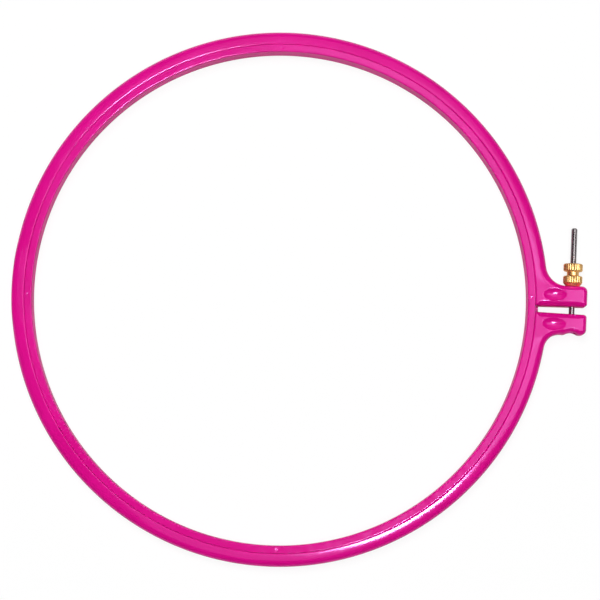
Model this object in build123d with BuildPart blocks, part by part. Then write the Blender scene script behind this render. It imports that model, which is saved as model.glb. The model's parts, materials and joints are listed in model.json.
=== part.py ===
"""Embroidery hoop with a screw tensioner.

An unbroken inner ring lies inside a split outer ring, which rests on the inner ring's lip. A screw through the outer
ring's two lugs, with its head held in one of them, is drawn tight by a knurled nut on the other.

Millimetres. The origin is on the rings' axis, in the plane the hoop lies on, with +Z up. The split is on +X, and the
screw runs along Y with its nut at +Y.
"""

import math
import os

from build123d import *

# the two rings
split_diameter = 254.0
ring_clearance = 0.3
hoop_height = 11.0
inner_ring_width = 3.6
outer_ring_width = 6.5
lip_thickness = 1.8
lip_reach = 2.5

# the rounding of the mouldings
band_inside_edge = 0.6
band_outside_edge = 0.5
lip_edge = 0.4
shoulder = 2.6
heel = 1.6
slot_edge = 1.9
bore_edge = 0.9

# the lugs, on each side of the slot, with a scallop in the lower one's side that bares the screw's head
lug_half_span = 12.2
slot_root_width = 3.3
slot_mouth_width = 4.1
head_lug_root = 8.0
side_before_scallop = 1.3
scallop_width = 6.4
scallop_depth = 1.1
side_after_scallop = 0.45
corner_over_shoulder = 0.2
dish_radius = 11.0
dish_depth = 1.2
dish_from_ring = 4.2
dish_from_slot = 7.6

# the screw and its hexagonal head
screw_diameter = 3.0
screw_length = 50.0
screw_tip_chamfer = 0.5
head_across_flats = 5.5
head_thickness = 2.0
head_seat_depth = 3.7

# the knurled nut
collar_diameter = 9.6
collar_height = 3.7
collar_chamfer = 0.4
neck_diameter = 6.0
neck_height = 2.4
foot_diameter = 6.8
foot_height = 1.3
knurl_count = 28
knurl_depth = 0.35

# the fits
hole_clearance = 0.25
thread_clearance = 0.05
pocket_clearance = 0.1
seat_clearance = 0.1
cut_overrun = 1.0

band_outside = (split_diameter - ring_clearance) / 2
band_inside = band_outside - inner_ring_width
ring_inside = (split_diameter + ring_clearance) / 2
ring_outside = ring_inside + outer_ring_width

# along the lower lug's side: its root, the scallop with its rounded ends, and the corner
corner_radius = shoulder + corner_over_shoulder
head_root_end = math.sqrt((ring_outside + head_lug_root) ** 2 - (lug_half_span + head_lug_root) ** 2)
scallop_radius = scallop_width**2 / (8 * scallop_depth) + scallop_depth / 2
scallop_reach = math.sqrt(scallop_depth * (2 * scallop_radius + 2 * corner_radius - scallop_depth))
screw_x = head_root_end + side_before_scallop + scallop_reach
lug_end = screw_x + scallop_reach + side_after_scallop + corner_radius

# the upper lug's root runs out where the nut's foot begins
nut_root_end = screw_x - foot_diameter / 2
nut_lug_root = (nut_root_end**2 - ring_outside**2 + lug_half_span**2) / (2 * (ring_outside - lug_half_span))

screw_z = (hoop_height + lip_thickness) / 2
head_seat = lug_half_span - head_seat_depth
nut_seat = lug_half_span + seat_clearance

os.makedirs("parts", exist_ok=True)


# the inner ring: an unbroken band with a lip round its underside
with BuildPart() as inner_ring:
    with BuildSketch(Plane.XZ) as band_section:
        with BuildLine():
            Polyline(
                (band_inside, 0),
                (band_outside + lip_reach, 0),
                (band_outside + lip_reach, lip_thickness),
                (band_outside, lip_thickness),
                (band_outside, hoop_height),
                (band_inside, hoop_height),
                close=True,
            )
        make_face()
        chamfer(band_section.vertices().group_by(Axis.Y)[-1].sort_by(Axis.X)[0], length=band_inside_edge)
        chamfer(band_section.vertices().group_by(Axis.Y)[-1].sort_by(Axis.X)[-1], length=band_outside_edge)
        chamfer(band_section.vertices().group_by(Axis.X)[-1], length=lip_edge)
    revolve(axis=Axis.Z)
inner_ring.part.label = "inner_ring"
export_step(inner_ring.part, "parts/inner_ring.step")


def face_edges(moulding, level):
    """The edges of the outer ring's top or bottom face: round the bore, along the slot and round the outside."""
    edges = moulding.edges().group_by(Axis.Z)[level]
    bore = edges.filter_by(GeomType.CIRCLE).sort_by(SortBy.RADIUS)[-2:-1]
    slot = edges.filter_by(GeomType.LINE).filter_by_position(Axis.Y, -slot_mouth_width, slot_mouth_width)
    return bore, slot, edges - bore - slot


# the outer ring: one moulding whose plan is the split ring and both lugs, rounded along its edges
with BuildPart() as outer_ring:
    with BuildSketch(Plane.XY.offset(lip_thickness)) as ring_plan:
        Circle(ring_outside)
        with BuildLine():
            Polyline(
                (ring_inside, -lug_half_span),
                (lug_end, -lug_half_span),
                (lug_end, lug_half_span),
                (ring_inside, lug_half_span),
                close=True,
            )
        make_face()
        fillet(ring_plan.vertices().group_by(Axis.Y)[0].sort_by(Axis.X)[0], radius=head_lug_root)
        fillet(ring_plan.vertices().group_by(Axis.Y)[-1].sort_by(Axis.X)[0], radius=nut_lug_root)
        fillet(ring_plan.vertices().group_by(Axis.X)[-1], radius=corner_radius)

        with Locations((screw_x, scallop_depth - lug_half_span - scallop_radius)):
            Circle(scallop_radius, mode=Mode.SUBTRACT)
        fillet(ring_plan.vertices().sort_by_distance((screw_x, -lug_half_span))[:2], radius=corner_radius)

        Circle(ring_inside, mode=Mode.SUBTRACT)
        with BuildLine():
            Polyline(
                (ring_inside - cut_overrun, -slot_root_width / 2),
                (lug_end + cut_overrun, -slot_mouth_width / 2),
                (lug_end + cut_overrun, slot_mouth_width / 2),
                (ring_inside - cut_overrun, slot_root_width / 2),
                close=True,
            )
        make_face(mode=Mode.SUBTRACT)
    extrude(amount=hoop_height - lip_thickness)

    fillet(face_edges(outer_ring, -1)[2], radius=shoulder)
    chamfer(face_edges(outer_ring, 0)[2], length=heel)
    fillet(face_edges(outer_ring, -1)[1], radius=slot_edge)
    chamfer(face_edges(outer_ring, -1)[0], length=bore_edge)

    # the dishes in the lugs' webs
    dish_x = ring_outside + dish_from_ring
    dish_z = hoop_height - dish_depth + dish_radius
    with Locations((dish_x, -dish_from_slot, dish_z), (dish_x, dish_from_slot, dish_z)):
        Sphere(dish_radius, mode=Mode.SUBTRACT)

    # the screw's hole through both lugs, and the pocket that holds its head from turning
    with BuildSketch(Plane.XZ):
        with Locations((screw_x, screw_z)):
            Circle(screw_diameter / 2 + hole_clearance)
    extrude(amount=lug_half_span + cut_overrun, both=True, mode=Mode.SUBTRACT)
    with BuildSketch(Plane.XZ.offset(head_seat)):
        with Locations((screw_x, screw_z)):
            RegularPolygon(head_across_flats / 2 + pocket_clearance, side_count=6, major_radius=False)
    extrude(amount=head_seat_depth + cut_overrun, mode=Mode.SUBTRACT)
outer_ring.part.label = "outer_ring"
export_step(outer_ring.part, "parts/outer_ring.step")


# the screw: its head sits in the lower lug's pocket and its tip stands out past the nut
screw_axis = Axis((screw_x, 0, screw_z), (0, 1, 0))
head_top = -head_seat - seat_clearance
with BuildPart() as clamp_screw:
    with BuildSketch(Plane.XZ.offset(-head_top)):
        with Locations((screw_x, screw_z)):
            RegularPolygon(head_across_flats / 2, side_count=6, major_radius=False)
    extrude(amount=head_thickness)
    with BuildSketch(Plane.XZ.offset(-head_top)):
        with Locations((screw_x, screw_z)):
            Circle(screw_diameter / 2)
    extrude(amount=-screw_length)
    chamfer(clamp_screw.edges().group_by(Axis.Y)[-1], length=screw_tip_chamfer)
clamp_screw.part.label = "clamp_screw"
export_step(clamp_screw.part, "parts/clamp_screw.step")


# the nut: a knurled bar turned down to a neck between its two collars and to a foot that bears on the upper lug
collar_radius = collar_diameter / 2
neck_start = nut_seat + foot_height + collar_height
neck_end = neck_start + neck_height
nut_end = neck_end + collar_height
with BuildPart() as thumb_nut:
    with BuildSketch(Plane.XZ.offset(-nut_seat)):
        with Locations((screw_x, screw_z)):
            Circle(collar_radius)
            with PolarLocations(collar_radius, knurl_count):
                RegularPolygon(knurl_depth, side_count=4, mode=Mode.SUBTRACT)
    extrude(amount=nut_seat - nut_end)
    with BuildSketch(Plane.XY.offset(screw_z)):
        with BuildLine():
            Polyline(
                (screw_x, nut_seat),
                (screw_x + foot_diameter / 2, nut_seat),
                (screw_x + collar_radius - knurl_depth, nut_seat + foot_height),
                (screw_x + collar_radius, nut_seat + foot_height + collar_chamfer),
                (screw_x + collar_radius, neck_start),
                (screw_x + neck_diameter / 2, neck_start),
                (screw_x + neck_diameter / 2, neck_end),
                (screw_x + collar_radius, neck_end),
                (screw_x + collar_radius, nut_end - collar_chamfer),
                (screw_x + collar_radius - knurl_depth, nut_end),
                (screw_x, nut_end),
                close=True,
            )
        make_face()
    revolve(axis=screw_axis, mode=Mode.INTERSECT)
    with BuildSketch(Plane.XZ):
        with Locations((screw_x, screw_z)):
            Circle(screw_diameter / 2 + thread_clearance)
    extrude(amount=-(nut_end + cut_overrun), mode=Mode.SUBTRACT)
thumb_nut.part.label = "thumb_nut"
export_step(thumb_nut.part, "parts/thumb_nut.step")
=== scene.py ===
"""The looks of an embroidery hoop: two magenta plastic rings, a steel screw and a brass nut."""

import json
import math

import bmesh
import bpy
import numpy as np
from mathutils import Matrix, Vector


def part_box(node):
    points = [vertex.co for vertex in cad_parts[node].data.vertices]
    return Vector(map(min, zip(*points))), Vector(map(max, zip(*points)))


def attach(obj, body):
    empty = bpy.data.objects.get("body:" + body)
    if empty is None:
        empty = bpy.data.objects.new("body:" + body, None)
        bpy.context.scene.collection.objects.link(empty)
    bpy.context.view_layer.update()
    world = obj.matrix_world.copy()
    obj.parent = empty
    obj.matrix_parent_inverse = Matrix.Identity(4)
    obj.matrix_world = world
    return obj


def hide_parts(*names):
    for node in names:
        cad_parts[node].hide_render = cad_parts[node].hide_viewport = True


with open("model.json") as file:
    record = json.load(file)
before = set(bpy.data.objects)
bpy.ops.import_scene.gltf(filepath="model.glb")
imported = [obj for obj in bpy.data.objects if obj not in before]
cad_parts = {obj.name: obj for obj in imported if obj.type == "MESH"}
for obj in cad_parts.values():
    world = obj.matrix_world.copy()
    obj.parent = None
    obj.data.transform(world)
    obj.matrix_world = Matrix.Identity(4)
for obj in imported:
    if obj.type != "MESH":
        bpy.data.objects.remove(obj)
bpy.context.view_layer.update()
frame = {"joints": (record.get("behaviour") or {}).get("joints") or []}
MM = 0.001


# The camera stands where the photograph was taken from: over a metre above the hoop and a little towards its
# lower edge, with a long lens. The hoop lies turned a little clockwise, left of the picture's middle.
picture_width = 600
hoop_middle_px = (280.0, 296.2)
metres_per_px = 0.4965 * MM
hoop_turn = math.radians(2.68)
camera_place = Vector((9.0, -100.0, 1100.0)) * MM
sensor_width = 36.0

hoop_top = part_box("inner_ring")[1].z
picture_right = Vector((math.cos(hoop_turn), math.sin(hoop_turn), 0))
picture_up = Vector((-math.sin(hoop_turn), math.cos(hoop_turn), 0))
right_of_hoop = (picture_width / 2 - hoop_middle_px[0]) * metres_per_px
above_hoop = (hoop_middle_px[1] - picture_width / 2) * metres_per_px
aim = Vector((0, 0, hoop_top)) + picture_right * right_of_hoop + picture_up * above_hoop

camera = bpy.data.objects.new("camera", bpy.data.cameras.new("camera"))
bpy.context.scene.collection.objects.link(camera)
camera.data.sensor_width = sensor_width
camera.data.lens = sensor_width * (camera_place - aim).length / (picture_width * metres_per_px)
look = (aim - camera_place).normalized()
across = look.cross(picture_up).normalized()
camera_turn = Matrix((across, across.cross(look), -look)).transposed().to_4x4()
camera.matrix_world = Matrix.Translation(camera_place) @ camera_turn
bpy.context.scene.camera = camera


# The inner ring is one unbroken band with a lip round its underside, moulded in gloss magenta plastic. Four
# small round marks are sunk in its top, a quarter turn apart, where the plastic was let into the mould.
band_inside = 123.25 * MM
band_outside = 126.95 * MM
lip_thickness = 1.8 * MM
lip_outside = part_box("inner_ring")[1].x
inside_rounding = 0.65 * MM
outside_rounding = 0.15 * MM
lip_rounding = 0.5 * MM
foot_rounding = 0.3 * MM
corner_steps = 5
border_gap = 0.12 * MM
inner_ring_steps = 1500
mark_radius = 0.85 * MM
mark_depth = 0.27 * MM
mark_points = 9
mark_turn = math.radians(2.2)
weld_distance = 0.0001 * MM
sharp_edge = math.radians(32)

# the plastic's looks: a spread is the part of a noise's range that is used, and wall_tilt says how level a
# face must be to shine like the top
plastic_pink = (0.70, 0.0035, 0.243)
plastic_light_pink = (0.75, 0.0055, 0.27)
plastic_shine = (0.8, 0.42, 1.0)
plastic_refraction = 1.49
plastic_roughness = (0.09, 0.14)
clouding_scale = 38
clouding_spread = (0.38, 0.66)
handling_scale = 260
handling_spread = (0.35, 0.7)
skin_scale = 70
skin_strength = 0.03
skin_depth = 0.4 * MM
wall_roughness = 0.5
wall_specular = 0.15
top_specular = 0.5
wall_tilt = (0.08, 0.35)


def rounded(corners, steps):
    """A closed outline as (x, y) points, with an arc at each corner, which is given as (x, y, radius). A
    corner with no radius stays a single point."""
    outline = []
    for k, (x, y, radius) in enumerate(corners):
        if not radius:
            outline.append((x, y))
            continue
        corner = Vector((x, y))
        before = (Vector(corners[k - 1][:2]) - corner).normalized()
        after = (Vector(corners[(k + 1) % len(corners)][:2]) - corner).normalized()
        half = before.angle(after) / 2
        middle = corner + (before + after).normalized() * radius / math.sin(half)
        start = corner + before * radius / math.tan(half) - middle
        sweep = (math.pi - 2 * half) * (1 if before.cross(after) < 0 else -1)
        for step in range(steps + 1):
            turned = Matrix.Rotation(sweep * step / steps, 2) @ start
            outline.append(tuple(middle + turned))
    return outline


def with_borders(outline, gap):
    """The outline with a point near both ends of each long straight side, so that its shading stays flat."""
    bordered = []
    for start, end in zip(outline, outline[1:] + outline[:1]):
        start, end = Vector(start), Vector(end)
        bordered.append(tuple(start))
        if (end - start).length > 4 * gap:
            step = (end - start).normalized() * gap
            bordered += [tuple(start + step), tuple(end - step)]
    return bordered


def moulded_plastic():
    """Gloss plastic whose colour and shine wander a little, as they do where the melt cooled unevenly."""
    material = bpy.data.materials.new("magenta_plastic")
    material.use_nodes = True
    nodes, links = material.node_tree.nodes, material.node_tree.links
    shader = nodes["Principled BSDF"]
    shader.inputs["IOR"].default_value = plastic_refraction
    shader.inputs["Specular Tint"].default_value = (*plastic_shine, 1)
    place = nodes.new("ShaderNodeTexCoord").outputs["Object"]

    def noise(scale, detail, name):
        texture = nodes.new("ShaderNodeTexNoise")
        texture.name = name
        texture.inputs["Scale"].default_value = scale
        texture.inputs["Detail"].default_value = detail
        links.new(place, texture.inputs["Vector"])
        return texture.outputs["Fac"]

    def spread(value, low, high, to_low, to_high):
        ramp = nodes.new("ShaderNodeMapRange")
        ramp.inputs["From Min"].default_value = low
        ramp.inputs["From Max"].default_value = high
        ramp.inputs["To Min"].default_value = to_low
        ramp.inputs["To Max"].default_value = to_high
        links.new(value, ramp.inputs["Value"])
        return ramp.outputs["Result"]

    colour = nodes.new("ShaderNodeMix")
    colour.data_type = "RGBA"
    colour.inputs["A"].default_value = (*plastic_pink, 1)
    colour.inputs["B"].default_value = (*plastic_light_pink, 1)
    clouding = noise(clouding_scale, 4, "clouding")
    links.new(spread(clouding, *clouding_spread, 0, 1), colour.inputs["Factor"])
    links.new(colour.outputs["Result"], shader.inputs["Base Color"])

    # the upright walls are duller, where they slid out of the mould
    facing = nodes.new("ShaderNodeSeparateXYZ")
    links.new(nodes["Texture Coordinate"].outputs["Normal"], facing.inputs["Vector"])
    level = nodes.new("ShaderNodeMath")
    level.operation = "ABSOLUTE"
    links.new(facing.outputs["Z"], level.inputs[0])
    rough = nodes.new("ShaderNodeMix")
    rough.inputs["A"].default_value = wall_roughness
    gloss = spread(level.outputs["Value"], *wall_tilt, 0, 1)
    links.new(spread(gloss, 0, 1, wall_specular, top_specular), shader.inputs["Specular IOR Level"])
    links.new(gloss, rough.inputs["Factor"])
    handling = noise(handling_scale, 6, "handling")
    links.new(spread(handling, *handling_spread, *plastic_roughness), rough.inputs["B"])
    links.new(rough.outputs["Result"], shader.inputs["Roughness"])

    ripple = nodes.new("ShaderNodeBump")
    ripple.inputs["Strength"].default_value = skin_strength
    ripple.inputs["Distance"].default_value = skin_depth
    links.new(noise(skin_scale, 2, "skin"), ripple.inputs["Height"])
    links.new(ripple.outputs["Normal"], shader.inputs["Normal"])
    return material


def sweep_round_tree():
    """Geometry nodes that sweep the object's own section round an axis and sink four marks in the top."""
    tree = bpy.data.node_groups.new("ring_sweep", "GeometryNodeTree")
    sockets = {
        name: tree.interface.new_socket(name=name, in_out="INPUT", socket_type=kind)
        for name, kind in (
            ("Section", "NodeSocketGeometry"),
            ("Radius", "NodeSocketFloat"),
            ("Steps", "NodeSocketInt"),
            ("Mark place", "NodeSocketVector"),
            ("Mark turn", "NodeSocketFloat"),
            ("Mark radius", "NodeSocketFloat"),
            ("Mark depth", "NodeSocketFloat"),
            ("Plastic", "NodeSocketMaterial"),
        )
    }
    tree.interface.new_socket(name="Ring", in_out="OUTPUT", socket_type="NodeSocketGeometry")
    nodes, links = tree.nodes, tree.links
    given = nodes.new("NodeGroupInput").outputs

    path = nodes.new("GeometryNodeCurvePrimitiveCircle")
    links.new(given["Steps"], path.inputs["Resolution"])
    links.new(given["Radius"], path.inputs["Radius"])
    swept = nodes.new("GeometryNodeCurveToMesh")
    links.new(path.outputs["Curve"], swept.inputs["Curve"])
    links.new(given["Section"], swept.inputs["Profile Curve"])

    # with the ring turned back and folded on both axes, all four marks lie at one place or its mirror image
    turned = nodes.new("ShaderNodeVectorRotate")
    turned.rotation_type = "Z_AXIS"
    links.new(nodes.new("GeometryNodeInputPosition").outputs["Position"], turned.inputs["Vector"])
    links.new(given["Mark turn"], turned.inputs["Angle"])
    folded = nodes.new("ShaderNodeVectorMath")
    folded.operation = "ABSOLUTE"
    links.new(turned.outputs["Vector"], folded.inputs[0])
    swapped_place = nodes.new("ShaderNodeVectorRotate")
    swapped_place.rotation_type = "Z_AXIS"
    swapped_place.inputs["Angle"].default_value = math.pi / 2
    links.new(given["Mark place"], swapped_place.inputs["Vector"])
    nearest = nodes.new("ShaderNodeMath")
    nearest.operation = "MINIMUM"
    for k, mark in enumerate((given["Mark place"], swapped_place.outputs["Vector"])):
        away = nodes.new("ShaderNodeVectorMath")
        away.operation = "DISTANCE"
        links.new(folded.outputs["Vector"], away.inputs[0])
        links.new(mark, away.inputs[1])
        links.new(away.outputs["Value"], nearest.inputs[k])
    depth = nodes.new("ShaderNodeMapRange")
    links.new(nearest.outputs["Value"], depth.inputs["Value"])
    links.new(given["Mark radius"], depth.inputs["From Max"])
    links.new(given["Mark depth"], depth.inputs["To Min"])
    depth.inputs["To Max"].default_value = 0
    downward = nodes.new("ShaderNodeVectorMath")
    downward.operation = "SCALE"
    downward.inputs[0].default_value = (0, 0, -1)
    links.new(depth.outputs["Result"], downward.inputs["Scale"])
    marked = nodes.new("GeometryNodeSetPosition")
    links.new(swept.outputs["Mesh"], marked.inputs["Geometry"])
    links.new(downward.outputs["Vector"], marked.inputs["Offset"])

    real = nodes.new("GeometryNodeRealizeInstances")
    links.new(marked.outputs["Geometry"], real.inputs["Geometry"])
    finished = nodes.new("GeometryNodeSetMaterial")
    links.new(real.outputs["Geometry"], finished.inputs["Geometry"])
    links.new(given["Plastic"], finished.inputs["Material"])
    links.new(finished.outputs["Geometry"], nodes.new("NodeGroupOutput").inputs["Ring"])
    return tree, sockets


def grown_mesh(base, name, tree, sockets, values):
    """The plain mesh that a tree of geometry nodes makes from a base object. The base goes."""
    modifier = base.modifiers.new(name, "NODES")
    modifier.node_group = tree
    for title, value in values.items():
        modifier[sockets[title].identifier] = value
    bpy.context.view_layer.update()
    made = bpy.data.meshes.new_from_object(base.evaluated_get(bpy.context.evaluated_depsgraph_get()))
    made.name = name
    base.modifiers.remove(modifier)
    bpy.data.objects.remove(base)
    return made


def add_piece(mesh, stands_for, material):
    """A piece from a closed mesh, smooth but for its sharp edges, in place of a node and on its body."""
    shell = bmesh.new()
    shell.from_mesh(mesh)
    bmesh.ops.remove_doubles(shell, verts=shell.verts, dist=weld_distance)
    bmesh.ops.recalc_face_normals(shell, faces=shell.faces)
    shell.to_mesh(mesh)
    shell.free()
    mesh.shade_smooth()
    mesh.set_sharp_from_angle(angle=sharp_edge)
    mesh.materials.clear()
    mesh.materials.append(material)
    piece = bpy.data.objects.new(mesh.name, mesh)
    bpy.context.scene.collection.objects.link(piece)
    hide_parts(stands_for)
    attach(piece, stands_for)
    return piece


plastic = moulded_plastic()

# the band's section, whose row of points on the top gives the marks their shape
band_middle = (band_inside + band_outside) / 2
band_outline = rounded(
    [
        (band_inside, 0, foot_rounding),
        (lip_outside, 0, lip_rounding),
        (lip_outside, lip_thickness, lip_rounding),
        (band_outside, lip_thickness, foot_rounding),
        (band_outside, hoop_top, outside_rounding),
        *((band_middle + mark_radius * share, hoop_top, 0) for share in np.linspace(1, -1, mark_points)),
        (band_inside, hoop_top, inside_rounding),
    ],
    corner_steps,
)
band_section = with_borders(band_outline, border_gap)
section = bpy.data.curves.new("band_section", "CURVE")
section.dimensions = "3D"
spline = section.splines.new("POLY")
spline.points.add(len(band_section) - 1)
spline.use_cyclic_u = True
for point, (r, z) in zip(spline.points, band_section):
    point.co = (r - band_outside, -z, 0, 1)
section_base = bpy.data.objects.new("band_section", section)
bpy.context.scene.collection.objects.link(section_base)
sweep_tree, sweep_sockets = sweep_round_tree()
inner_mesh = grown_mesh(
    section_base,
    "inner_hoop",
    sweep_tree,
    sweep_sockets,
    {
        "Radius": band_outside,
        "Steps": inner_ring_steps,
        "Mark place": (band_middle, 0, hoop_top),
        "Mark turn": -mark_turn,
        "Mark radius": mark_radius,
        "Mark depth": mark_depth,
        "Plastic": plastic,
    },
)
add_piece(inner_mesh, "inner_ring", plastic)


# The outer ring and its two lugs are one moulding in the same plastic, split once, with rounded edges and a
# shallow dish in each lug's web. The screw's hole is cored through both lugs, with a hexagonal pocket and a
# scallop at the lower one for the screw's head.
outer_low, outer_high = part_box("outer_ring")
screw_joint = next(joint for joint in frame["joints"] if joint["name"] == "nut_turn")
screw_x, _, screw_z = screw_joint["pos_m"]
ring_outside = outer_high.y
ring_inside = 127.05 * MM
lug_end = outer_high.x
lug_half_span = 12.2 * MM
corner_radius = 2.8 * MM
mouth_corner = 1.5 * MM
slot_corner = 0.8 * MM
slot_half_root = 1.5 * MM
slot_half_mouth = 1.97 * MM
scallop_width = 6.4 * MM
scallop_depth = 1.1 * MM
head_lug_root = 8.0 * MM
foot_radius = 3.4 * MM
nut_root_end = screw_x - foot_radius
nut_lug_root = (nut_root_end**2 - ring_outside**2 + lug_half_span**2) / (2 * (ring_outside - lug_half_span))
head_root_end = math.sqrt((ring_outside + head_lug_root) ** 2 - (lug_half_span + head_lug_root) ** 2)
scallop_radius = scallop_width**2 / (8 * scallop_depth) + scallop_depth / 2
scallop_reach = math.sqrt(scallop_depth * (2 * scallop_radius + 2 * corner_radius - scallop_depth))

# how wide and how deep each edge of the top is rounded, and how steeply that begins
ring_shoulder = np.array((3.2 * MM, 2.2 * MM, 0))
bore_edge = np.array((0.65 * MM, 0.35 * MM, 0.4))
side_shoulder = np.array((2.2 * MM, 2.6 * MM, 0.3))
end_shoulder = np.array((1.9 * MM, 2.2 * MM, 0.2))
slot_shoulder = np.array((2.5 * MM, 2.6 * MM, 0.45))
heel = np.array((1.6 * MM, 1.6 * MM, 0))

# the ring's top falls outwards, ever more steeply, and the lugs' dishes are oval
crown_slope = 0.05
crown_radius = 24 * MM
dish_place = (136.5 * MM, 7.3 * MM)
dish_half_length = 5.8 * MM
dish_half_width = 3.2 * MM
dish_depth = 1.0 * MM
hole_radius = 1.75 * MM
pocket_across_flats = 5.7 * MM
pocket_floor = 8.5 * MM
hole_sides = 48

ring_rungs = 560
root_rungs = 100
end_points = 12
rung_spacing = 0.4 * MM
ring_overlap = math.radians(4)
overlap_points = 12
bore_points = 8
crest_points = 32
shoulder_points = 12
wall_points = 3
flat_border_share = 0.006


def arc(middle, radius, start, end, count):
    """Points on an arc between two angles."""
    angles = np.linspace(start, end, count)
    return np.column_stack((middle[0] + radius * np.cos(angles), middle[1] + radius * np.sin(angles)))


def along(line, shares):
    """The points of a line at given shares of its length."""
    steps = np.concatenate(([0], np.cumsum(np.linalg.norm(np.diff(line, axis=0), axis=1))))
    return np.column_stack([np.interp(shares * steps[-1], steps, line[:, k]) for k in range(line.shape[1])])


def eased(share):
    """A share from 0 to 1 that sets off and arrives gently."""
    return share * share * (3 - 2 * share)


def from_edge(count):
    """Shares of an edge's width that suit its rounding: close together where it is steep."""
    return 1 - np.cos(np.linspace(0, math.pi / 2, count))


def lug_side(x, has_scallop):
    """How far a lug's outer side stands from the slot's middle line, at places along the lug."""
    corner = np.clip(x - (lug_end - corner_radius), 0, corner_radius)
    side = lug_half_span - corner_radius + np.sqrt(corner_radius**2 - corner**2)
    if has_scallop:
        off = np.abs(x - screw_x)
        hollow = lug_half_span + scallop_radius - scallop_depth
        hollow = hollow - np.sqrt(np.maximum(scallop_radius**2 - off**2, 0))
        lip = np.clip(scallop_reach - off, 0, corner_radius)
        lip = lug_half_span - corner_radius + np.sqrt(corner_radius**2 - lip**2)
        in_hollow = off < scallop_reach * scallop_radius / (scallop_radius + corner_radius)
        side = np.where(in_hollow, hollow, np.where(off < scallop_reach, lip, side))
    return side


def slot_side(x):
    """How far the slot's wall stands from its middle line, at places along the lug."""
    corner = np.clip(x - (lug_end - mouth_corner), 0, mouth_corner)
    wall = np.interp(x, (ring_inside, lug_end), (slot_half_root, slot_half_mouth))
    return wall + mouth_corner - np.sqrt(mouth_corner**2 - corner**2)


def lug_lines(root_end, root_radius, has_scallop):
    """A lug's rungs from its end face to the ring: their outer ends, their inner ends and the angle where
    the ring takes over. Each end has five values: x, y and its edge's width, depth and steepness."""
    near_end = lug_end - corner_radius * from_edge(end_points)
    steps = round((near_end[-1] - root_end) / rung_spacing)
    x = np.concatenate((near_end, np.linspace(near_end[-1], root_end, steps + 1)[1:]))
    outer_end = np.column_stack((x, lug_side(x, has_scallop)))
    inner_end = np.column_stack((x, slot_side(x)))

    root_middle = (root_end, lug_half_span + root_radius)
    ring_angle = math.atan2(root_middle[1], root_middle[0])
    root = arc(root_middle, root_radius, -math.pi / 2, ring_angle - math.pi, root_rungs)
    corner_y = slot_half_root + slot_corner
    corner_place = np.array((math.sqrt((ring_inside + slot_corner) ** 2 - corner_y**2), corner_y))
    bore_start = math.atan2(corner_place[1], corner_place[0])
    slot = np.column_stack((np.linspace(root_end, corner_place[0], root_rungs),) * 2)
    slot[:, 1] = slot_side(slot[:, 0])
    turn = arc(corner_place, slot_corner, -math.pi / 2, bore_start - math.pi, root_rungs // 4)
    bore = arc((0, 0), ring_inside, bore_start, ring_angle, root_rungs)
    inner_root = along(np.concatenate((slot, turn[1:], bore[1:])), np.linspace(0, 1, root_rungs))
    outer_end = np.concatenate((outer_end, root[1:]))
    inner_end = np.concatenate((inner_end, inner_root[1:]))

    # the edges' rounding changes from the lug's to the ring's along the root
    count = len(outer_end)
    into_root = eased(np.clip((np.arange(count) - len(x)) / (root_rungs - 1), 0, 1)[:, None])
    from_end = np.clip((lug_end - outer_end[:, :1]) / (2 * corner_radius), 0, 1)
    outer_edge = end_shoulder * (1 - from_end) + side_shoulder * from_end
    outer_edge = outer_edge * (1 - into_root) + ring_shoulder * into_root
    corner_reach = 3 * slot_corner
    past_corner = np.clip((ring_inside + corner_reach - inner_end[:, :1]) / corner_reach, 0, 1)
    inner_edge = end_shoulder * (1 - from_end) + slot_shoulder * from_end
    inner_edge = inner_edge * (1 - past_corner) + bore_edge * past_corner
    return np.hstack((outer_end, outer_edge)), np.hstack((inner_end, inner_edge)), ring_angle


def rounding(distance, edge):
    """How far the top has fallen at some distance from an edge of a given width, depth and steepness."""
    share = 1 - np.clip(distance / edge[..., 0], 0, 1)
    return edge[..., 1] * ((1 - edge[..., 2]) * (1 - np.sqrt(1 - share**2)) + edge[..., 2] * share)


def crown(points):
    """How far the plain ring's top has fallen from its inner edge outwards. The lugs are level."""
    across = np.clip(np.linalg.norm(points, axis=-1) - ring_inside, 0, ring_outside - ring_inside)
    share = np.clip(np.abs(points[..., 1]) / lug_half_span - 1, 0, 1)
    return (crown_slope * across + across**2 / (2 * crown_radius)) * eased(share)


def nearest_edge(points, outline):
    """Each point's distance to an outline, and the outline's edge values at the nearest place."""
    start, step = outline[:-1, :2], np.diff(outline[:, :2], axis=0)
    reach = points[:, None] - start[None]
    share = np.clip((reach * step).sum(2) / np.maximum((step**2).sum(1), 1e-18), 0, 1)
    apart = np.linalg.norm(reach - share[..., None] * step, axis=2)
    best = apart.argmin(1)
    rows = np.arange(len(points))
    share = share[rows, best][:, None]
    return apart[rows, best], outline[best, 2:] * (1 - share) + outline[best + 1, 2:] * share


def rung_points(outer_end, inner_end, outer_width, inner_width, crest):
    """Places across every rung, close together over the two rounded edges."""
    length = np.linalg.norm(outer_end[:, :2] - inner_end[:, :2], axis=1)
    inner = from_edge(bore_points)[None] * inner_width[:, None] / length[:, None]
    outer = 1 - from_edge(shoulder_points)[None, ::-1] * outer_width[:, None] / length[:, None]
    flat = np.linspace(0, 1, crest)[1:-1]
    flat = np.concatenate(([flat_border_share], flat, [1 - flat_border_share]))[None]
    flat = inner[:, -1:] * (1 - flat) + outer[:, :1] * flat
    share = np.concatenate((inner, flat, outer), axis=1)
    return inner_end[:, None, :2] * (1 - share[..., None]) + outer_end[:, None, :2] * share[..., None]


def dish_hollow(points):
    """How far the top is sunk by the dish, an oval hollow in the lug's web."""
    off = (points - dish_place) / (dish_half_length, dish_half_width)
    return dish_depth * np.maximum(1 - (off**2).sum(axis=1), 0)


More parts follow.
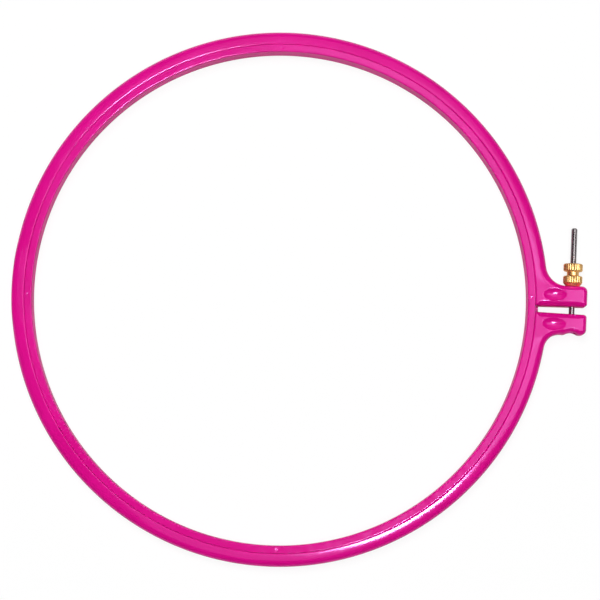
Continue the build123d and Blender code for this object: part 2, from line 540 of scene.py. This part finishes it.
def lug_surface(outer_end, inner_end):
    """The top and the underside of one lug and its root, as points across every rung."""
    plan = rung_points(outer_end, inner_end, outer_end[:, 2], inner_end[:, 2], crest_points)

    # both outlines run on along the ring, and the outer one takes in half of the slot's rounded mouth
    taken_over = math.atan2(outer_end[-1, 1], outer_end[-1, 0])
    more = np.linspace(taken_over, taken_over + ring_overlap, overlap_points)[1:]
    extra = [
        np.column_stack((r * np.cos(more), r * np.sin(more), np.tile(edge, (len(more), 1))))
        for r, edge in ((ring_outside, ring_shoulder), (ring_inside, bore_edge))
    ]
    in_mouth = np.count_nonzero(inner_end[:, 0] > lug_end - mouth_corner * (1 - math.cos(math.pi / 4)))
    outside = np.concatenate((extra[0][::-1], outer_end[::-1], inner_end[:in_mouth]))
    inside = np.concatenate((inner_end[in_mouth - 1 :], extra[1]))

    flat_plan = plan.reshape(-1, 2)
    from_outside, outside_edge = nearest_edge(flat_plan, outside)
    from_inside, inside_edge = nearest_edge(flat_plan, inside)
    dish = dish_hollow(flat_plan)
    fallen = np.maximum(rounding(from_outside, outside_edge), rounding(from_inside, inside_edge))
    fallen = fallen + crown(flat_plan)
    top = outer_high.z - np.maximum(fallen, dish)
    under = outer_low.z + rounding(from_outside, heel)
    shape = plan.shape[:2]
    return plan, top.reshape(shape), under.reshape(shape)


def ring_surface(start, end):
    """The top and the underside of the plain ring between two angles, as points across every rung."""
    angles = np.linspace(start, end, ring_rungs)[1:-1]
    ends = [np.column_stack((r * np.cos(angles), r * np.sin(angles))) for r in (ring_outside, ring_inside)]
    widths = [np.full(len(angles), edge[0]) for edge in (ring_shoulder, bore_edge)]
    plan = rung_points(ends[0], ends[1], widths[0], widths[1], crest_points)
    r = np.linalg.norm(plan, axis=2)
    fallen = rounding(ring_outside - r, ring_shoulder) + rounding(r - ring_inside, bore_edge) + crown(plan)
    return plan, outer_high.z - fallen, outer_low.z + rounding(ring_outside - r, heel)


def closed_sections(plan, top, under):
    """Closed sections from the rungs: over the top, down the outer wall, back and up the inner wall."""
    over = np.dstack((plan, top))
    back = np.dstack((plan, under))[:, ::-1]
    shares = np.linspace(0, 1, wall_points + 2)[1:-1][:, None]
    outer_wall = over[:, -1:] * (1 - shares) + back[:, :1] * shares
    inner_wall = back[:, -1:] * (1 - shares) + over[:, :1] * shares
    return np.concatenate((over, outer_wall, back, inner_wall), axis=1)


def skinned(name, sections, ends_closed):
    """A mesh that runs through closed sections of as many points each."""
    rows, count = sections.shape[:2]
    index = np.arange(rows * count).reshape(rows, count)
    after = np.roll(index, -1, axis=1)
    faces = np.stack((index[:-1], index[1:], after[1:], after[:-1]), axis=2).reshape(-1, 4).tolist()
    if ends_closed:
        faces += [index[0].tolist(), index[-1][::-1].tolist()]
    mesh = bpy.data.meshes.new(name)
    mesh.from_pydata(sections.reshape(-1, 3).tolist(), [], faces)
    return mesh


def prism(name, sides, across, start, end):
    """A cutter or a bar along Y round the screw's axis, as a plain mesh object."""
    corner = across / 2 / math.cos(math.pi / sides)
    angles = np.arange(sides) * 2 * math.pi / sides
    x, z = screw_x + corner * np.cos(angles), screw_z + corner * np.sin(angles)
    ring = np.column_stack((x, np.zeros(sides), z))
    mesh = skinned(name, np.stack((ring + (0, start, 0), ring + (0, end, 0))), True)
    made = bpy.data.objects.new(name, mesh)
    bpy.context.scene.collection.objects.link(made)
    return made


def combined(mesh, others, operation):
    """A mesh with other bodies joined to it or cut from it. The others go."""
    body = bpy.data.objects.new(mesh.name, mesh)
    bpy.context.scene.collection.objects.link(body)
    for k, other in enumerate(others):
        modifier = body.modifiers.new(f"with_{k}", "BOOLEAN")
        modifier.operation = operation
        modifier.solver = "EXACT"
        modifier.object = other
    bpy.context.view_layer.update()
    made = bpy.data.meshes.new_from_object(body.evaluated_get(bpy.context.evaluated_depsgraph_get()))
    name = mesh.name
    for thing in (body, *others):
        bpy.data.meshes.remove(thing.data)
    made.name = name
    return made


nut_outer, nut_inner, nut_angle = lug_lines(nut_root_end, nut_lug_root, False)
head_outer, head_inner, head_angle = lug_lines(head_root_end, head_lug_root, True)
nut_sections = closed_sections(*lug_surface(nut_outer, nut_inner))
head_sections = closed_sections(*lug_surface(head_outer, head_inner))[::-1] * (1, -1, 1)
ring_sections = closed_sections(*ring_surface(nut_angle, 2 * math.pi - head_angle))
outer_mesh = skinned("outer_hoop", np.concatenate((nut_sections, ring_sections, head_sections)), True)
cutters = [
    prism("screw_hole", hole_sides, 2 * hole_radius, -2 * lug_half_span, 2 * lug_half_span),
    prism("head_pocket", 6, pocket_across_flats, -2 * lug_half_span, -pocket_floor),
]
outer_mesh = combined(outer_mesh, cutters, "DIFFERENCE")
add_piece(outer_mesh, "outer_ring", plastic)


# The screw is a plain steel machine screw, 3 mm with a fine thread rolled along its whole length. Its
# hexagonal head lies in the lower lug's pocket, which keeps it from turning, and its tip is chamfered.
thread_diameter = 3.0 * MM
thread_pitch = 0.5 * MM
thread_depth = 0.09 * MM
thread_steps = 28
head_across_flats = 5.5 * MM
head_thickness = 2.0 * MM
head_chamfer = 0.35 * MM
screw_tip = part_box("clamp_screw")[1].y
head_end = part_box("clamp_screw")[0].y
head_steps = 48
tip_chamfer = 0.6 * MM
rod_weld = 0.001 * MM

# the steel's looks, and the tarnish and scratches that both metals have
steel_colour = (0.36, 0.33, 0.34)
steel_dull_colour = (0.22, 0.19, 0.20)
steel_roughness = (0.2, 0.34)
steel_streaks = (1, 5, 1)
metal_edge_shine = (0.4, 0.4, 0.4)
tarnish_scale = 500
tarnish_spread = (0.45, 0.75)
scratch_scale = 900
scratch_strength = 0.15
scratch_depth = 0.05 * MM


def thread_tree():
    """Geometry nodes that roll a flat grid into a threaded rod along Y, whose rows climb with the thread."""
    tree = bpy.data.node_groups.new("rolled_thread", "GeometryNodeTree")
    names = ("Axis place", "Rows", "Steps", "Start", "End", "Pitch", "Radius", "Depth", "Chamfer", "Steel")
    kinds = ("Vector", "Int", "Int", "Float", "Float", "Float", "Float", "Float", "Float", "Material")
    tree.interface.new_socket(name="Base", in_out="INPUT", socket_type="NodeSocketGeometry")
    sockets = {
        name: tree.interface.new_socket(name=name, in_out="INPUT", socket_type="NodeSocket" + kind)
        for name, kind in zip(names, kinds)
    }
    tree.interface.new_socket(name="Rod", in_out="OUTPUT", socket_type="NodeSocketGeometry")
    nodes, links = tree.nodes, tree.links
    given = nodes.new("NodeGroupInput").outputs

    def sums(operation, *terms):
        node = nodes.new("ShaderNodeMath")
        node.operation = operation
        for k, term in enumerate(terms):
            if isinstance(term, (int, float)):
                node.inputs[k].default_value = term
            else:
                links.new(term, node.inputs[k])
        return node.outputs["Value"]

    grid = nodes.new("GeometryNodeMeshGrid")
    grid.inputs["Size X"].default_value = 1
    grid.inputs["Size Y"].default_value = 1
    links.new(sums("ADD", given["Steps"], 1), grid.inputs["Vertices X"])
    links.new(given["Rows"], grid.inputs["Vertices Y"])
    place = nodes.new("ShaderNodeSeparateXYZ")
    links.new(nodes.new("GeometryNodeInputPosition").outputs["Position"], place.inputs["Vector"])
    turn = sums("ADD", place.outputs["X"], 0.5)
    last_row = sums("SUBTRACT", given["Rows"], 1)
    row = sums("ROUND", sums("MULTIPLY", sums("ADD", place.outputs["Y"], 0.5), last_row))

    # four rows make one turn of the thread: two along its crest and two along its root
    turns = sums("SUBTRACT", sums("ADD", sums("DIVIDE", row, 4), turn), 1)
    along_rod = sums("ADD", given["Start"], sums("MULTIPLY", turns, given["Pitch"]))
    along_rod = sums("MAXIMUM", sums("MINIMUM", along_rod, given["End"]), given["Start"])
    at_root = sums("GREATER_THAN", sums("MODULO", row, 4), 1.5)
    radius = sums("SUBTRACT", given["Radius"], sums("MULTIPLY", at_root, given["Depth"]))
    to_start = sums("SUBTRACT", along_rod, given["Start"])
    to_end = sums("SUBTRACT", given["End"], along_rod)
    core = sums("SUBTRACT", given["Radius"], given["Chamfer"])
    radius = sums("MINIMUM", radius, sums("ADD", core, sums("MINIMUM", to_start, to_end)))

    # the first and the last row close the rod's ends on its axis
    past_first = sums("GREATER_THAN", row, 0.5)
    before_last = sums("LESS_THAN", row, sums("SUBTRACT", last_row, 0.5))
    radius = sums("MULTIPLY", radius, sums("MULTIPLY", past_first, before_last))
    angle = sums("MULTIPLY", turn, -2 * math.pi)
    rolled = nodes.new("ShaderNodeCombineXYZ")
    links.new(sums("MULTIPLY", radius, sums("COSINE", angle)), rolled.inputs["X"])
    links.new(along_rod, rolled.inputs["Y"])
    links.new(sums("MULTIPLY", radius, sums("SINE", angle)), rolled.inputs["Z"])
    placed = nodes.new("ShaderNodeVectorMath")
    placed.operation = "ADD"
    links.new(rolled.outputs["Vector"], placed.inputs[0])
    links.new(given["Axis place"], placed.inputs[1])
    rod = nodes.new("GeometryNodeSetPosition")
    links.new(grid.outputs["Mesh"], rod.inputs["Geometry"])
    links.new(placed.outputs["Vector"], rod.inputs["Position"])
    closed = nodes.new("GeometryNodeMergeByDistance")
    closed.inputs["Distance"].default_value = rod_weld
    links.new(rod.outputs["Geometry"], closed.inputs["Geometry"])

    real = nodes.new("GeometryNodeRealizeInstances")
    links.new(closed.outputs["Geometry"], real.inputs["Geometry"])
    finished = nodes.new("GeometryNodeSetMaterial")
    links.new(real.outputs["Geometry"], finished.inputs["Geometry"])
    links.new(given["Steel"], finished.inputs["Material"])
    links.new(finished.outputs["Geometry"], nodes.new("NodeGroupOutput").inputs["Rod"])
    return tree, sockets


def bare_metal(name, colour, dull_colour, roughness, streaks):
    """A bare metal with fine scratches round the screw's axis and a little tarnish in patches."""
    material = bpy.data.materials.new(name)
    material.use_nodes = True
    nodes, links = material.node_tree.nodes, material.node_tree.links
    shader = nodes["Principled BSDF"]
    shader.inputs["Metallic"].default_value = 1
    shader.inputs["Specular Tint"].default_value = (*metal_edge_shine, 1)
    place = nodes.new("ShaderNodeTexCoord").outputs["Object"]

    tarnish = nodes.new("ShaderNodeTexNoise")
    tarnish.inputs["Scale"].default_value = tarnish_scale
    tarnish.inputs["Detail"].default_value = 5
    links.new(place, tarnish.inputs["Vector"])
    colours = nodes.new("ShaderNodeMix")
    colours.data_type = "RGBA"
    colours.inputs["A"].default_value = (*colour, 1)
    colours.inputs["B"].default_value = (*dull_colour, 1)
    patches = nodes.new("ShaderNodeMapRange")
    patches.inputs["From Min"].default_value = tarnish_spread[0]
    patches.inputs["From Max"].default_value = tarnish_spread[1]
    links.new(tarnish.outputs["Fac"], patches.inputs["Value"])
    links.new(patches.outputs["Result"], colours.inputs["Factor"])
    links.new(colours.outputs["Result"], shader.inputs["Base Color"])

    stretched = nodes.new("ShaderNodeMapping")
    stretched.inputs["Scale"].default_value = streaks
    links.new(place, stretched.inputs["Vector"])
    scratches = nodes.new("ShaderNodeTexNoise")
    scratches.inputs["Scale"].default_value = scratch_scale
    scratches.inputs["Detail"].default_value = 3
    links.new(stretched.outputs["Vector"], scratches.inputs["Vector"])
    shine = nodes.new("ShaderNodeMapRange")
    shine.inputs["To Min"].default_value = roughness[0]
    shine.inputs["To Max"].default_value = roughness[1]
    links.new(scratches.outputs["Fac"], shine.inputs["Value"])
    links.new(shine.outputs["Result"], shader.inputs["Roughness"])
    dents = nodes.new("ShaderNodeBump")
    dents.inputs["Strength"].default_value = scratch_strength
    dents.inputs["Distance"].default_value = scratch_depth
    links.new(scratches.outputs["Fac"], dents.inputs["Height"])
    links.new(dents.outputs["Normal"], shader.inputs["Normal"])
    return material


steel = bare_metal("screw_steel", steel_colour, steel_dull_colour, steel_roughness, steel_streaks)
head_bearing = head_end + head_thickness
thread_start = head_bearing - head_thickness / 4
rod_tree, rod_sockets = thread_tree()
rod_base = bpy.data.objects.new("rod_base", bpy.data.meshes.new("rod_base"))
bpy.context.scene.collection.objects.link(rod_base)
rod_mesh = grown_mesh(
    rod_base,
    "screw",
    rod_tree,
    rod_sockets,
    {
        "Axis place": (screw_x, 0, screw_z),
        "Rows": 4 * math.ceil((screw_tip - thread_start) / thread_pitch + 2),
        "Steps": thread_steps,
        "Start": thread_start,
        "End": screw_tip,
        "Pitch": thread_pitch,
        "Radius": thread_diameter / 2,
        "Depth": thread_depth,
        "Chamfer": tip_chamfer,
        "Steel": steel,
    },
)

# the head in rows, from its chamfered end to its bearing face
head_corner = head_across_flats / 2 / math.cos(math.pi / 6)
head_angles = np.arange(head_steps) * 2 * math.pi / head_steps
flat = head_across_flats / 2 / np.cos((head_angles + math.pi / 6) % (math.pi / 3) - math.pi / 6)
head_rows = []
for y, reach in (
    (head_end, head_across_flats / 2 - head_chamfer / 2),
    (head_end + head_chamfer, head_corner),
    (head_bearing, head_corner),
    (head_bearing, head_across_flats / 3),
):
    radius = np.minimum(flat, reach)
    x, z = screw_x + radius * np.cos(head_angles), screw_z + radius * np.sin(head_angles)
    head_rows.append(np.column_stack((x, np.full(len(x), y), z)))
head = bpy.data.objects.new("screw_head", skinned("screw_head", np.stack(head_rows), True))
bpy.context.scene.collection.objects.link(head)
add_piece(combined(rod_mesh, [head], "UNION"), "clamp_screw", steel)


# The nut is turned from brass bar with a straight knurl, then necked down in the middle so that two collars
# are left to grip, and drilled and tapped for the screw. A short plain foot bears on the upper lug.
nut_low, nut_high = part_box("thumb_nut")
collar_radius = 4.8 * MM
collar_height = 3.7 * MM
collar_chamfer = 0.45 * MM
neck_radius = 3.0 * MM
neck_height = 2.4 * MM
neck_rounding = 0.35 * MM
foot_height = 1.3 * MM
nut_bore = 1.56 * MM
bore_chamfer = 0.4 * MM
knurl_count = 28
knurl_depth = 0.2 * MM
knurl_roundness = 0.7
steps_per_knurl = 8

brass_colour = (0.95, 0.60, 0.25)
brass_dull_colour = (0.78, 0.42, 0.14)
brass_roughness = (0.38, 0.54)
brass_streaks = (1, 4, 1)


def knurled_nut():
    """The nut's mesh: its profile turned round the screw's axis, and knurled where the bar is full size."""
    y = [nut_low.y, nut_low.y, nut_low.y + foot_height]
    r = [nut_bore, foot_radius, collar_radius - knurl_depth]
    knurled = [False, False, False]
    neck_start = nut_low.y + foot_height + collar_height
    for start, end in ((nut_low.y + foot_height, neck_start), (neck_start + neck_height, nut_high.y)):
        y += [start, start + collar_chamfer, end - collar_chamfer, end]
        r += [collar_radius - collar_chamfer, collar_radius, collar_radius, collar_radius - collar_chamfer]
        knurled += [True, True, True, True]
        # the neck follows the first collar
        if end == neck_start:
            y += [end, end + neck_rounding, end + neck_height - neck_rounding, end + neck_height]
            r += [neck_radius + neck_rounding, neck_radius, neck_radius, neck_radius + neck_rounding]
            knurled += [False, False, False, False]
    y += [nut_high.y, nut_high.y - bore_chamfer]
    r += [nut_bore + bore_chamfer, nut_bore]
    knurled += [False, False]
    count = knurl_count * steps_per_knurl
    angles = np.arange(count) * 2 * math.pi / count
    groove = knurl_depth * (0.5 - 0.5 * np.cos(knurl_count * angles)) ** knurl_roundness
    profile = []
    for place, radius, cut in zip(y, r, knurled):
        reach = np.minimum(radius, collar_radius - groove) if cut else np.full(count, radius)
        turned = (screw_x + reach * np.cos(angles), np.full(count, place), screw_z + reach * np.sin(angles))
        profile.append(np.column_stack(turned))
    profile.append(profile[0])
    return skinned("nut", np.stack(profile), False)


brass = bare_metal("nut_brass", brass_colour, brass_dull_colour, brass_roughness, brass_streaks)
add_piece(knurled_nut(), "thumb_nut", brass)


# The hoop lies on a plain white floor. One soft lamp at the picture's lower right and a broader one at its
# upper left light it, and five more only show as highlights and haze on its gloss. Floor and surroundings
# look white to the camera, but the floor keeps the hoop's shadow.
floor_size = 6.0
floor_whiteness_share = 0.9
surroundings_light = 0.04
surroundings_seen = 0.97


def white_floor():
    """White to the camera and in reflections, for the most part whatever light falls on it."""
    material = bpy.data.materials.new("white_floor")
    material.use_nodes = True
    nodes, links = material.node_tree.nodes, material.node_tree.links
    lit = nodes["Principled BSDF"]
    lit.inputs["Base Color"].default_value = (1, 1, 1, 1)
    lit.inputs["Roughness"].default_value = 1
    lit.inputs["Specular IOR Level"].default_value = 0
    plain = nodes.new("ShaderNodeEmission")
    rays = nodes.new("ShaderNodeLightPath")
    seen = nodes.new("ShaderNodeMath")
    seen.operation = "MAXIMUM"
    links.new(rays.outputs["Is Camera Ray"], seen.inputs[0])
    links.new(rays.outputs["Is Glossy Ray"], seen.inputs[1])
    through = nodes.new("ShaderNodeMath")
    through.operation = "MAXIMUM"
    links.new(seen.outputs["Value"], through.inputs[0])
    links.new(rays.outputs["Is Transmission Ray"], through.inputs[1])
    share = nodes.new("ShaderNodeMath")
    share.operation = "MULTIPLY"
    share.inputs[1].default_value = floor_whiteness_share
    links.new(through.outputs["Value"], share.inputs[0])
    mixed = nodes.new("ShaderNodeMixShader")
    links.new(share.outputs["Value"], mixed.inputs["Fac"])
    links.new(lit.outputs["BSDF"], mixed.inputs[1])
    links.new(plain.outputs["Emission"], mixed.inputs[2])
    links.new(mixed.outputs["Shader"], nodes["Material Output"].inputs["Surface"])
    return material


def lamp(name, place, size, power, lights_surfaces):
    """A square lamp that faces the hoop and either lights its surfaces or is mirrored in them."""
    light = bpy.data.lights.new(name, "AREA")
    light.energy = power
    light.size = size
    holder = bpy.data.objects.new(name, light)
    holder.location = place
    holder.rotation_euler = (-Vector(place)).to_track_quat("-Z", "Y").to_euler()
    holder.visible_glossy = not lights_surfaces
    holder.visible_diffuse = lights_surfaces
    bpy.context.scene.collection.objects.link(holder)


floor_mesh = bpy.data.meshes.new("floor")
half = floor_size / 2
floor_corners = [(-half, -half, 0), (half, -half, 0), (half, half, 0), (-half, half, 0)]
floor_mesh.from_pydata(floor_corners, [], [(0, 1, 2, 3)])
floor_mesh.materials.append(white_floor())
floor = bpy.data.objects.new("floor", floor_mesh)
bpy.context.scene.collection.objects.link(floor)

lamp("key_lamp", (0.374, -0.44, 2.2), 0.46, 15, True)
lamp("fill_lamp", (-0.25, 0.58, 2.15), 1.0, 38, True)
lamp("key_shine", (0.37, -0.43, 2.2), 0.40, 50, False)
lamp("window_shine", (0.80, 0.07, 2.0), 0.8, 8.5, False)
lamp("haze_shine", (0.50, 0.46, 2.4), 0.96, 6.2, False)
lamp("sky_shine", (0.3, 1.45, 2.4), 1.9, 8.5, False)
lamp("front_shine", (-0.1, -0.9, 2.4), 1.0, 3.2, False)
world = bpy.data.worlds.new("surroundings")
bpy.context.scene.world = world
world.use_nodes = True
sky = world.node_tree.nodes
sky["Background"].inputs["Color"].default_value = (1, 1, 1, 1)
glow = sky.new("ShaderNodeMapRange")
glow.inputs["To Min"].default_value = surroundings_light
glow.inputs["To Max"].default_value = surroundings_seen
world.node_tree.links.new(sky.new("ShaderNodeLightPath").outputs["Is Camera Ray"], glow.inputs["Value"])
world.node_tree.links.new(glow.outputs["Result"], sky["Background"].inputs["Strength"])
bpy.context.scene.view_settings.view_transform = "Standard"
